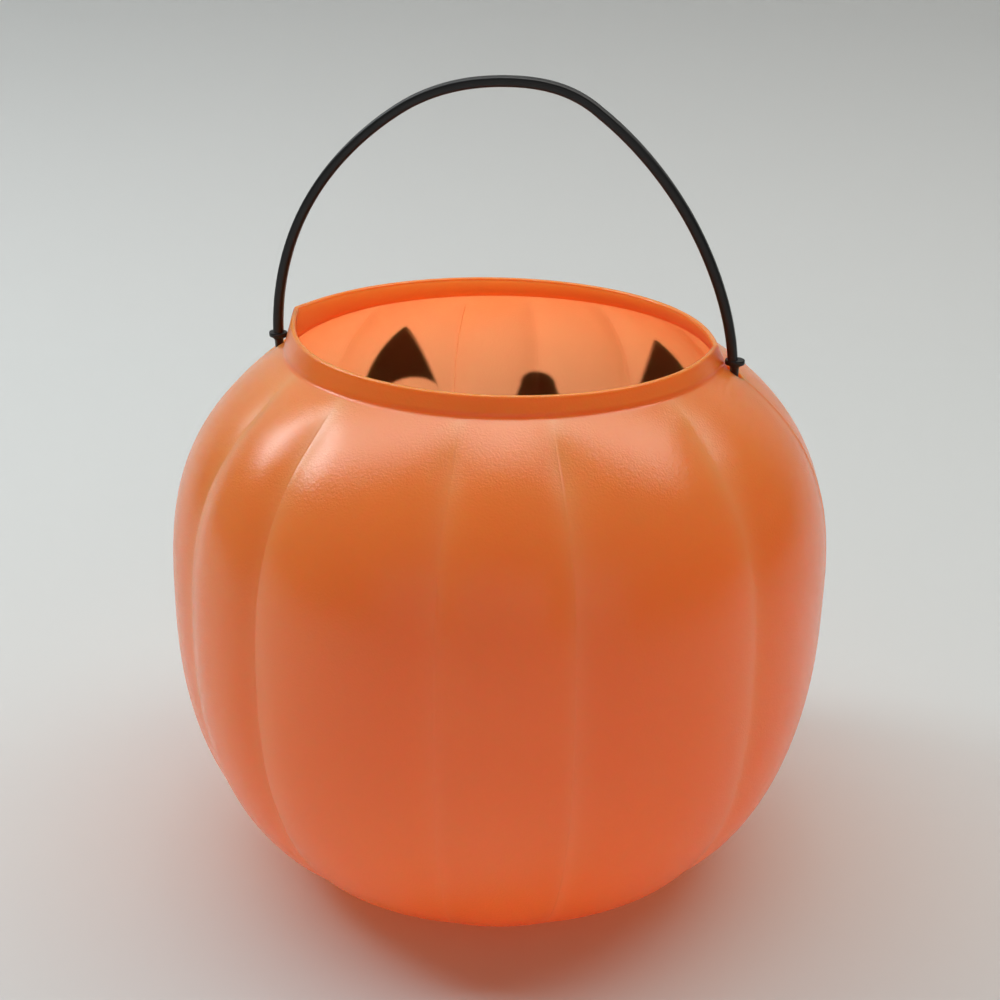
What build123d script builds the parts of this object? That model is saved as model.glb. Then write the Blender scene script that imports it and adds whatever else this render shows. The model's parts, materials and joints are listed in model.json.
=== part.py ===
from build123d import *
import math
import os

# Pumpkin candy pail: a thin blow-moulded shell with lobed sides and an upright collar, a bail handle
# whose two pegs snap into holes in the shoulder, and a face painted on the front of the shell.
# The pail stands on the plane z = 0, its axis is Z, its face looks along -Y and its handle spans X.
# All lengths are millimetres and all angles are degrees.

# Pail shell: the side is two curves that meet at the belly, the widest ring.
BELLY_RADIUS = 108.0
BELLY_HEIGHT = 92.3
FOOT_RADIUS = 55.0
DOME_RISE = 92.7
DOME_CLOSING_RADIUS = 40.0
WALL = 1.2

# Roundness of the two curves: 2 gives an ellipse, more gives a squarer shoulder or heel.
HEEL_HEIGHT_POWER = 2.2
HEEL_RADIUS_POWER = 1.92
DOME_HEIGHT_POWER = 3.0
DOME_RADIUS_POWER = 1.386
HEEL_SECTIONS = 7
DOME_SECTIONS = 7

# Lobes: the creases between them, as angles counter-clockwise from +X.
CREASE_ANGLES = [0.0, 39.0, 60.0, 90.0, 111.0, 143.5, 180.0, 222.0, 250.0, 271.2, 290.0, 318.0]
CREASE_DEPTH_AT_FOOT = 1.4
CREASE_DEPTH_AT_DOME = 2.6

# Collar round the mouth, and the pushed-up middle of the base.
COLLAR_RADIUS = 68.4
COLLAR_TAPER = 2.1
COLLAR_HEIGHT = 5.8
COLLAR_WALL = 1.8
MOUTH_TRIM = 4.0
PUSH_UP_HEIGHT = 3.0
PUSH_UP_INSET = 9.0
PUSH_UP_SLOPE_RUN = 4.0

# Handle: a three-centred arch with a peg at each end, leaning a little backwards at rest.
PEG_SETBACK = 5.4
HANDLE_RISE = 91.0
HANDLE_CROWN_RADIUS = 54.0
HANDLE_LEAN = 9.0
STRAP_WIDTH = 3.4
STRAP_THICKNESS = 3.2
STRAP_CORNER = 1.1
FLANGE_LENGTH = 6.8
FLANGE_WIDTH = 4.0
FLANGE_THICKNESS = 1.8
PEG_ROOT_DIAMETER = 3.6
PEG_DIAMETER = 3.0
PEG_HOLE_CLEARANCE = 1.15
FLANGE_STANDOFF = 4.5
BARB_DEPTH = 4.6
BARB_DIAMETER = 6.2
BARB_LENGTH = 3.6
BARB_TIP_DIAMETER = 2.2

# Painted face: a film over the shell, its outlines drawn as seen from the front, about a line that lies
# a little to one side of the pail's axis. Each eye's round pupil and the mouth's teeth stay bare.
PAINT_THICKNESS = 0.25
PAINT_CLEARANCE = 0.26
FACE_SHIFT = 2.3
EYE_APEX_X = 46.5
EYE_APEX_Z = 155.5
EYE_INNER_X = 38.5
EYE_INNER_Z = 118.0
EYE_OUTER_X = 66.0
EYE_BASE_Z = 113.0
EYE_BULGE = 6.3
EYE_CORNER = 1.2
PUPIL_X = 49.0
PUPIL_Z = 120.0
PUPIL_RADIUS = 12.5
NOSE_TOP_Z = 133.5
NOSE_TOP_RADIUS = 5.5
NOSE_BASE_Z = 104.0
NOSE_BASE_WIDTH = 30.0
NOSE_CORNER = 2.0
MOUTH_HALF_WIDTH = 63.0
MOUTH_CORNER_Z = 90.0
MOUTH_UPPER_Z = 70.0
MOUTH_LOWER_Z = 38.0
UPPER_TOOTH_X = 21.0
UPPER_TOOTH_WIDTH = 13.0
UPPER_TOOTH_DROP = 12.0
LOWER_TOOTH_WIDTH = 15.0
LOWER_TOOTH_RISE = 11.0

# Sizes that follow from those above.
DOME_CLOSING_HEIGHT = BELLY_HEIGHT + DOME_RISE
COLLAR_TOP_RADIUS = COLLAR_RADIUS - COLLAR_TAPER
MOUTH_RADIUS = COLLAR_TOP_RADIUS - COLLAR_WALL
FRONT_REACH = 2.0 * BELLY_RADIUS
PEG_HOLE_DIAMETER = PEG_DIAMETER + 2.0 * PEG_HOLE_CLEARANCE
HALF_SPAN = COLLAR_RADIUS + PEG_SETBACK


def dome_height(radius):
    """Height at which the upper curve of the side has narrowed to a radius."""
    share = (radius - DOME_CLOSING_RADIUS) / (BELLY_RADIUS - DOME_CLOSING_RADIUS)
    return BELLY_HEIGHT + DOME_RISE * (1.0 - share**DOME_RADIUS_POWER) ** (1.0 / DOME_HEIGHT_POWER)


SHOULDER_HEIGHT = dome_height(COLLAR_RADIUS)
RIM_HEIGHT = SHOULDER_HEIGHT + COLLAR_HEIGHT


def heel_point(turn):
    """Radius and height on the lower curve: turn 0 is the belly, turn 90 the foot."""
    sine = math.sin(math.radians(turn))
    cosine = math.cos(math.radians(turn))
    radius = FOOT_RADIUS + (BELLY_RADIUS - FOOT_RADIUS) * max(cosine, 0.0) ** (2.0 / HEEL_RADIUS_POWER)
    return radius, BELLY_HEIGHT * (1.0 - sine ** (2.0 / HEEL_HEIGHT_POWER))


def dome_point(turn):
    """Radius and height on the upper curve: turn 0 is the belly, turn 90 where it would level out."""
    sine = math.sin(math.radians(turn))
    cosine = math.cos(math.radians(turn))
    radius = DOME_CLOSING_RADIUS
    radius += (BELLY_RADIUS - DOME_CLOSING_RADIUS) * cosine ** (2.0 / DOME_RADIUS_POWER)
    return radius, BELLY_HEIGHT + DOME_RISE * sine ** (2.0 / DOME_HEIGHT_POWER)


def side_profile():
    """Radius and height at each level of the side, from the foot up to inside the mouth."""
    share = (MOUTH_RADIUS - MOUTH_TRIM - DOME_CLOSING_RADIUS) / (BELLY_RADIUS - DOME_CLOSING_RADIUS)
    dome_end = math.degrees(math.acos(share ** (DOME_RADIUS_POWER / 2.0)))
    heel = [heel_point(90.0 * (1.0 - level / HEEL_SECTIONS)) for level in range(HEEL_SECTIONS)]
    dome = [dome_point(dome_end * level / DOME_SECTIONS) for level in range(DOME_SECTIONS + 1)]
    return heel + dome


def shifted_profile(outward):
    """The side's profile moved along its normals: outward is positive, into the wall negative."""
    profile = side_profile()
    last = len(profile) - 1
    shifted = []
    for level, (radius, height) in enumerate(profile):
        below = profile[max(level - 1, 0)]
        above = profile[min(level + 1, last)]
        along_radius = above[0] - below[0]
        along_height = above[1] - below[1]
        if level == 0:
            along_radius, along_height = 1.0, 0.0
        length = math.hypot(along_radius, along_height)
        shifted.append(
            (radius + outward * along_height / length, height - outward * along_radius / length)
        )
    return shifted


def crease_depth(height):
    """Depth of the creases at a height: shallow at the foot, deepest at the top of the dome."""
    share = height / DOME_CLOSING_HEIGHT
    return CREASE_DEPTH_AT_FOOT + share * (CREASE_DEPTH_AT_DOME - CREASE_DEPTH_AT_FOOT)


def polar(radius, angle):
    """Point at a radius and an angle in the level plane."""
    return radius * math.cos(math.radians(angle)), radius * math.sin(math.radians(angle))


def lobed_section(radius, height):
    """Level section of the side: one arc for each lobe, from crease to crease."""
    valley = radius - crease_depth(height)
    ends = CREASE_ANGLES[1:] + [CREASE_ANGLES[0] + 360.0]
    with BuildSketch(Plane.XY.offset(height)) as section:
        with BuildLine():
            for start, end in zip(CREASE_ANGLES, ends):
                crown = polar(radius, (start + end) / 2.0)
                ThreePointArc(polar(valley, start), crown, polar(valley, end))
        make_face()
    return section.sketch


def body_form(outward):
    """Solid lobed form of the pail's side, its face moved outwards by a distance."""
    with BuildPart() as form:
        loft([lobed_section(radius, height) for radius, height in shifted_profile(outward)])
    return form.part


def valley_height(radius):
    """Height of the outer face of the side in a crease, at a radius on the dome."""
    height = dome_height(radius)
    return dome_height(radius + crease_depth(height))


PIVOT_HEIGHT = valley_height(HALF_SPAN) - WALL / 2.0

outer_form = body_form(0.0)

# Shell: the lobed form and the collar, hollowed, with the base pushed up and the two peg holes cut.
with BuildPart() as pail_shell:
    add(outer_form)
    with BuildSketch(Plane.XZ):
        with BuildLine():
            Polyline(
                (0.0, SHOULDER_HEIGHT - COLLAR_HEIGHT),
                (COLLAR_RADIUS, SHOULDER_HEIGHT - COLLAR_HEIGHT),
                (COLLAR_RADIUS, SHOULDER_HEIGHT),
                (COLLAR_TOP_RADIUS, RIM_HEIGHT),
                (0.0, RIM_HEIGHT),
                close=True,
            )
        make_face()
    revolve(axis=Axis.Z)
    add(body_form(-WALL), mode=Mode.SUBTRACT)
    with BuildSketch(Plane.XZ):
        with BuildLine():
            Polyline(
                (0.0, SHOULDER_HEIGHT - COLLAR_HEIGHT),
                (COLLAR_RADIUS - COLLAR_WALL, SHOULDER_HEIGHT - COLLAR_HEIGHT),
                (COLLAR_RADIUS - COLLAR_WALL, SHOULDER_HEIGHT),
                (MOUTH_RADIUS, RIM_HEIGHT),
                (MOUTH_RADIUS, RIM_HEIGHT + COLLAR_HEIGHT),
                (0.0, RIM_HEIGHT + COLLAR_HEIGHT),
                close=True,
            )
        make_face()
    revolve(axis=Axis.Z, mode=Mode.SUBTRACT)
    with BuildSketch(Plane.XZ):
        with BuildLine():
            Polyline(
                (0.0, 0.0),
                (FOOT_RADIUS - PUSH_UP_INSET, 0.0),
                (FOOT_RADIUS - PUSH_UP_INSET, WALL),
                (FOOT_RADIUS - PUSH_UP_INSET - PUSH_UP_SLOPE_RUN, WALL + PUSH_UP_HEIGHT),
                (0.0, WALL + PUSH_UP_HEIGHT),
                close=True,
            )
        make_face()
    revolve(axis=Axis.Z)
    with BuildSketch(Plane.XZ):
        with BuildLine():
            Polyline(
                (0.0, 0.0),
                (FOOT_RADIUS - PUSH_UP_INSET - WALL, 0.0),
                (FOOT_RADIUS - PUSH_UP_INSET - WALL - PUSH_UP_SLOPE_RUN, PUSH_UP_HEIGHT),
                (0.0, PUSH_UP_HEIGHT),
                close=True,
            )
        make_face()
    revolve(axis=Axis.Z, mode=Mode.SUBTRACT)
    with BuildSketch(Plane.XY.offset(PIVOT_HEIGHT)):
        with Locations((-HALF_SPAN, 0.0), (HALF_SPAN, 0.0)):
            Circle(PEG_HOLE_DIAMETER / 2.0)
    extrude(amount=FLANGE_STANDOFF, both=True, mode=Mode.SUBTRACT)
pail_shell.part.label = "pail_shell"

# Handle: the strap follows a side arc, the crown arc and the other side arc, all tangent, in a plane
# that holds the line through the two pegs and leans backwards.
LEAN = math.radians(HANDLE_LEAN)
HANDLE_PLANE = Plane(
    origin=(0.0, 0.0, PIVOT_HEIGHT), x_dir=(1.0, 0.0, 0.0), z_dir=(0.0, -math.cos(LEAN), math.sin(LEAN))
)
CROWN_CENTRE = HANDLE_RISE - HANDLE_CROWN_RADIUS
SIDE_RADIUS = (HALF_SPAN**2 + CROWN_CENTRE**2 - HANDLE_CROWN_RADIUS**2) / (
    2.0 * (HALF_SPAN - HANDLE_CROWN_RADIUS)
)
SIDE_TURN = math.degrees(math.atan2(CROWN_CENTRE, SIDE_RADIUS - HALF_SPAN))
FLANGE_PLANE = Plane(
    HANDLE_PLANE.from_local_coords((HALF_SPAN, FLANGE_STANDOFF, 0.0)),
    x_dir=(1.0, 0.0, 0.0),
    z_dir=HANDLE_PLANE.y_dir,
)
STRAP_START = math.degrees(math.asin((FLANGE_STANDOFF + FLANGE_THICKNESS / 2.0) / SIDE_RADIUS))

with BuildPart() as carry_handle:
    with BuildLine(HANDLE_PLANE) as strap_path:
        CenterArc((HALF_SPAN - SIDE_RADIUS, 0.0), SIDE_RADIUS, STRAP_START, SIDE_TURN - STRAP_START)
        CenterArc((0.0, CROWN_CENTRE), HANDLE_CROWN_RADIUS, SIDE_TURN, 180.0 - 2.0 * SIDE_TURN)
        CenterArc(
            (SIDE_RADIUS - HALF_SPAN, 0.0), SIDE_RADIUS, 180.0 - SIDE_TURN, SIDE_TURN - STRAP_START
        )
    with BuildSketch(Plane(strap_path.line @ 0, x_dir=HANDLE_PLANE.z_dir, z_dir=strap_path.line % 0)):
        RectangleRounded(STRAP_WIDTH, STRAP_THICKNESS, STRAP_CORNER)
    sweep(path=strap_path.line)
    with BuildSketch(HANDLE_PLANE):
        with BuildLine():
            Polyline(
                (HALF_SPAN, -BARB_DEPTH - BARB_LENGTH),
                (HALF_SPAN + BARB_TIP_DIAMETER / 2.0, -BARB_DEPTH - BARB_LENGTH),
                (HALF_SPAN + BARB_DIAMETER / 2.0, -BARB_DEPTH),
                (HALF_SPAN + PEG_DIAMETER / 2.0, -BARB_DEPTH),
                (HALF_SPAN + PEG_DIAMETER / 2.0, FLANGE_STANDOFF / 2.0),
                (HALF_SPAN + PEG_ROOT_DIAMETER / 2.0, FLANGE_STANDOFF),
                (HALF_SPAN, FLANGE_STANDOFF),
                close=True,
            )
        make_face()
    revolve(axis=Axis(HANDLE_PLANE.from_local_coords((HALF_SPAN, 0.0, 0.0)), HANDLE_PLANE.y_dir))
    with BuildSketch(FLANGE_PLANE):
        SlotOverall(FLANGE_LENGTH, FLANGE_WIDTH)
    extrude(amount=FLANGE_THICKNESS)
    mirror(about=Plane.YZ)
carry_handle.part.label = "carry_handle"

# Painted face: each outline is carried forwards through the shell, and only a film over it is kept,
# between two copies of the outer form moved forwards.
FACE_PLANE = Plane(origin=(FACE_SHIFT, 0.0, 0.0), x_dir=(1.0, 0.0, 0.0), z_dir=(0.0, -1.0, 0.0))
paint_inside = outer_form.moved(Location((0.0, -PAINT_CLEARANCE, 0.0)))
paint_outside = paint_inside.moved(Location((0.0, -PAINT_THICKNESS, 0.0)))
eyes = []
for side in (-1.0, 1.0):
    with BuildPart() as eye_paint:
        with BuildSketch(FACE_PLANE) as eye_outline:
            with BuildLine():
                Polyline(
                    (side * EYE_APEX_X, EYE_APEX_Z),
                    (side * EYE_INNER_X, EYE_INNER_Z),
                    (side * PUPIL_X, EYE_BASE_Z),
                    (side * EYE_OUTER_X, EYE_BASE_Z),
                )
                SagittaArc(
                    (side * EYE_OUTER_X, EYE_BASE_Z), (side * EYE_APEX_X, EYE_APEX_Z), -side * EYE_BULGE
                )
            make_face()
            fillet(eye_outline.vertices().sort_by(Axis.Y)[-1], EYE_CORNER)
            fillet(eye_outline.vertices().sort_by(Axis((0.0, 0.0, 0.0), (side, 0.0, 0.0)))[-1], EYE_CORNER)
            with Locations((side * PUPIL_X, PUPIL_Z)):
                Circle(PUPIL_RADIUS, mode=Mode.SUBTRACT)
        extrude(amount=FRONT_REACH)
        add(paint_outside, mode=Mode.INTERSECT)
        add(paint_inside, mode=Mode.SUBTRACT)
    eyes.append(eye_paint.part)
left_eye_paint, right_eye_paint = eyes
left_eye_paint.label = "left_eye_paint"
right_eye_paint.label = "right_eye_paint"

with BuildPart() as nose_paint:
    with BuildSketch(FACE_PLANE) as nose_outline:
        with BuildLine():
            ThreePointArc(
                (-NOSE_TOP_RADIUS, NOSE_TOP_Z - NOSE_TOP_RADIUS),
                (0.0, NOSE_TOP_Z),
                (NOSE_TOP_RADIUS, NOSE_TOP_Z - NOSE_TOP_RADIUS),
            )
            Polyline(
                (NOSE_TOP_RADIUS, NOSE_TOP_Z - NOSE_TOP_RADIUS),
                (NOSE_BASE_WIDTH / 2.0, NOSE_BASE_Z),
                (-NOSE_BASE_WIDTH / 2.0, NOSE_BASE_Z),
                (-NOSE_TOP_RADIUS, NOSE_TOP_Z - NOSE_TOP_RADIUS),
            )
        make_face()
        fillet(nose_outline.vertices().group_by(Axis.Y)[0], NOSE_CORNER)
    extrude(amount=FRONT_REACH)
    add(paint_outside, mode=Mode.INTERSECT)
    add(paint_inside, mode=Mode.SUBTRACT)
nose_paint.part.label = "nose_paint"

with BuildPart() as mouth_paint:
    with BuildSketch(FACE_PLANE):
        with BuildLine():
            ThreePointArc(
                (-MOUTH_HALF_WIDTH, MOUTH_CORNER_Z), (0.0, MOUTH_UPPER_Z), (MOUTH_HALF_WIDTH, MOUTH_CORNER_Z)
            )
            ThreePointArc(
                (MOUTH_HALF_WIDTH, MOUTH_CORNER_Z), (0.0, MOUTH_LOWER_Z), (-MOUTH_HALF_WIDTH, MOUTH_CORNER_Z)
            )
        make_face()
        with Locations((-UPPER_TOOTH_X, MOUTH_UPPER_Z), (UPPER_TOOTH_X, MOUTH_UPPER_Z)):
            Rectangle(UPPER_TOOTH_WIDTH, 2.0 * UPPER_TOOTH_DROP, mode=Mode.SUBTRACT)
        with Locations((0.0, MOUTH_LOWER_Z)):
            Rectangle(LOWER_TOOTH_WIDTH, 2.0 * LOWER_TOOTH_RISE, mode=Mode.SUBTRACT)
    extrude(amount=FRONT_REACH)
    add(paint_outside, mode=Mode.INTERSECT)
    add(paint_inside, mode=Mode.SUBTRACT)
mouth_paint.part.label = "mouth_paint"

os.makedirs("parts", exist_ok=True)
export_step(pail_shell.part, "parts/pail_shell.step")
export_step(carry_handle.part, "parts/carry_handle.step")
export_step(left_eye_paint, "parts/left_eye_paint.step")
export_step(right_eye_paint, "parts/right_eye_paint.step")
export_step(nose_paint.part, "parts/nose_paint.step")
export_step(mouth_paint.part, "parts/mouth_paint.step")
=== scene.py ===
"""Looks of the pumpkin candy pail: its shell, bail handle and painted face, on a pale studio sweep.

The object stands on z = 0 with its axis on Z, its face towards -Y and its handle spanning X. The camera
stands behind it, as in the photograph, so the face shows only through the mouth. Lengths are metres.
"""

import json
import logging
import math
from collections.abc import Iterable
from dataclasses import dataclass
from enum import Enum, IntEnum

import bpy
import numpy as np
from mathutils import Matrix, Vector


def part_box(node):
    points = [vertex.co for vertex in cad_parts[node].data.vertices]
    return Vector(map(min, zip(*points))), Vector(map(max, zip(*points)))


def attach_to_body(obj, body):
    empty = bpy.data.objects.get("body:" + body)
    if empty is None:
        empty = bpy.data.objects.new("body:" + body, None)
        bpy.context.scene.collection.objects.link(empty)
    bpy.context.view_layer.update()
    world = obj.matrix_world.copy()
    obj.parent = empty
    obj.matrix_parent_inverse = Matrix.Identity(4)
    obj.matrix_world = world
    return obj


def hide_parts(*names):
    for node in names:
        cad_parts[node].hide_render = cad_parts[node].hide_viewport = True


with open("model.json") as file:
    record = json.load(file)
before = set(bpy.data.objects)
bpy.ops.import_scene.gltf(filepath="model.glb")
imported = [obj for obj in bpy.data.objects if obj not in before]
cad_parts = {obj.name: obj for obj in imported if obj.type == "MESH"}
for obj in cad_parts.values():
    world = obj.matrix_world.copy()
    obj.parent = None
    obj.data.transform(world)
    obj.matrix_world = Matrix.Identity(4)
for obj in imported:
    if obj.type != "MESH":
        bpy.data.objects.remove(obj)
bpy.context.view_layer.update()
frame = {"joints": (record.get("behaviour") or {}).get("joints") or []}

IMAGE_WIDTH = 1000.0
FULL_TURN = 360.0  # degrees
RIGHT_ANGLE = 90.0  # degrees
CIRCLE = 2.0 * math.pi  # radians
log = logging.getLogger("pail")

Grid = np.ndarray
Faces = list[np.ndarray]
Surface = tuple[Grid, Faces]
Colour = tuple[float, float, float, float]


class Body(Enum):
    """Moving bodies of the frame that the pieces ride on."""

    PAIL = "pail"
    HANDLE = "handle"


class Slot(Enum):
    """Material slots of the record that the pieces take their finish from."""

    SHELL = "orange_shell"
    HANDLE = "black_handle"
    PAINT = "face_paint"


class Side(Enum):
    """Sides of the pail as the face's viewer sees them, with the sign of X there."""

    LEFT = -1.0
    RIGHT = 1.0


class Skin(IntEnum):
    """Skins of the shell, with the number of each one's material on its mesh."""

    OUTER = 0
    INNER = 1
    COLLAR = 2


# Mesh helpers


def smoothstep(low: float, high: float, value: np.ndarray) -> np.ndarray:
    """Smooth rise from 0 at low to 1 at high: 3t^2 - 2t^3 of the clipped share t."""
    share = np.clip((value - low) / (high - low), 0.0, 1.0)
    return share * share * (3.0 - 2.0 * share)


def ring_faces(rows: int, columns: int) -> np.ndarray:
    """Quads of a grid whose columns close round, facing outwards when rows run upwards.

    Args:
        rows: Number of rows.
        columns: Number of columns, counter-clockwise from above.

    Returns:
        Quads as an array of point indices.
    """
    index = np.arange(rows * columns).reshape(rows, columns)
    after = np.roll(index, -1, axis=1)
    return np.stack([index[:-1], after[:-1], after[1:], index[1:]], axis=-1).reshape(-1, 4)


def patch_faces(rows: int, columns: int) -> np.ndarray:
    """Quads of an open grid, in the order point, next column, next row and column, next row.

    Args:
        rows: Number of rows.
        columns: Number of columns.

    Returns:
        Quads as an array of point indices.
    """
    index = np.arange(rows * columns).reshape(rows, columns)
    quads = [index[:-1, :-1], index[:-1, 1:], index[1:, 1:], index[1:, :-1]]
    return np.stack(quads, axis=-1).reshape(-1, 4)


def fan_faces(ring: np.ndarray, pole: int) -> np.ndarray:
    """Triangles from a ring, counter-clockwise from outside, to one pole point."""
    return np.stack([ring, np.roll(ring, -1), np.full_like(ring, pole)], axis=-1)


def strip_faces(near: np.ndarray, far: np.ndarray) -> np.ndarray:
    """Quads between two closed loops of as many points."""
    return np.stack([near, np.roll(near, -1), np.roll(far, -1), far], axis=-1)


def capped_rings(rows: Grid, poles: Grid, flipped: bool = False) -> Surface:
    """Closed surface of stacked rings, with a fan from its first and its last ring to a pole.

    Args:
        rows: Points, rows by columns, that run upwards and counter-clockwise.
        poles: The two pole points.
        flipped: Whether the faces are turned round, for columns that run clockwise.

    Returns:
        Points, with the poles last, and faces.
    """
    count, columns = rows.shape[:2]
    total = count * columns
    ring = np.arange(columns)
    faces = [
        ring_faces(count, columns),
        fan_faces(ring[::-1], total),
        fan_faces(total - columns + ring, total + 1),
    ]
    points = np.concatenate([rows.reshape(-1, 3), poles])
    return points, [part[:, ::-1] for part in faces] if flipped else faces


def joined(parts: Iterable[Surface]) -> Surface:
    """Several surfaces as one.

    Args:
        parts: Points and faces of each surface.

    Returns:
        All points, and all faces with their numbers shifted to match.
    """
    points: list[Grid] = []
    faces: Faces = []
    for part, part_faces in parts:
        first = sum(map(len, points))
        points.append(part)
        faces += [corners + first for corners in part_faces]
    return np.concatenate(points), faces


def mesh_object(name: str, points: Grid, faces: Faces) -> bpy.types.Object:
    """Smooth-shaded mesh object at the origin, from points and faces.

    Args:
        name: Name of the object and its mesh.
        points: Points, in any grid shape that ends in x, y, z.
        faces: Arrays of triangles or quads.

    Returns:
        The new object, linked to the scene.
    """
    mesh = bpy.data.meshes.new(name)
    flat = np.asarray(points, dtype=np.float32).reshape(-1, 3)
    corners = np.concatenate([part.ravel() for part in faces]).astype(np.int32)
    totals = np.concatenate([np.full(len(part), part.shape[1]) for part in faces])
    mesh.vertices.add(len(flat))
    mesh.vertices.foreach_set("co", flat.ravel())
    mesh.loops.add(len(corners))
    mesh.loops.foreach_set("vertex_index", corners)
    mesh.polygons.add(len(totals))
    mesh.polygons.foreach_set("loop_start", (np.cumsum(totals) - totals).astype(np.int32))
    mesh.polygons.foreach_set("use_smooth", np.ones(len(totals), dtype=bool))
    mesh.update(calc_edges=True)
    mesh.validate()
    made = bpy.data.objects.new(name, mesh)
    bpy.context.scene.collection.objects.link(made)
    return made


def point_attribute(piece: bpy.types.Object, name: str, values: np.ndarray) -> None:
    """Writes one number for each point of a piece."""
    layer = piece.data.attributes.new(name, "FLOAT", "POINT")
    layer.data.foreach_set("value", np.asarray(values, dtype=np.float32).ravel())


def ring_normals(rows: Grid) -> Grid:
    """Unit normals of stacked rings: the cross product of their column and row tangents.

    Args:
        rows: Points, rows by columns that close round.

    Returns:
        Normals in the same grid shape.
    """
    across = np.roll(rows, -1, axis=1) - np.roll(rows, 1, axis=1)
    normal = np.cross(across, np.gradient(rows, axis=0))
    return normal / np.linalg.norm(normal, axis=-1, keepdims=True)


def polar(angle: np.ndarray, radius: np.ndarray, height: np.ndarray) -> Grid:
    """Points at angles in degrees, radii and heights about the pail's axis."""
    turn = np.radians(angle) + 0.0 * radius
    return np.stack([radius * np.cos(turn), radius * np.sin(turn), height + 0.0 * radius], axis=-1)


def from_parting(angle: np.ndarray) -> np.ndarray:
    """Degrees from the nearer of the mould's two parting lines, which run up at +X and -X."""
    return np.mod(angle + RIGHT_ANGLE, 2.0 * RIGHT_ANGLE) - RIGHT_ANGLE


def bezier(start: np.ndarray, corner: np.ndarray, end: np.ndarray, steps: int) -> np.ndarray:
    """Quadratic curve from a start to an end, pulled towards a corner, without its two ends."""
    share = np.linspace(0.0, 1.0, steps + 2)[1:-1, None]
    return (1.0 - share) ** 2 * start + 2.0 * share * (1.0 - share) * corner + share**2 * end


# Shape of the pail


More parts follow.
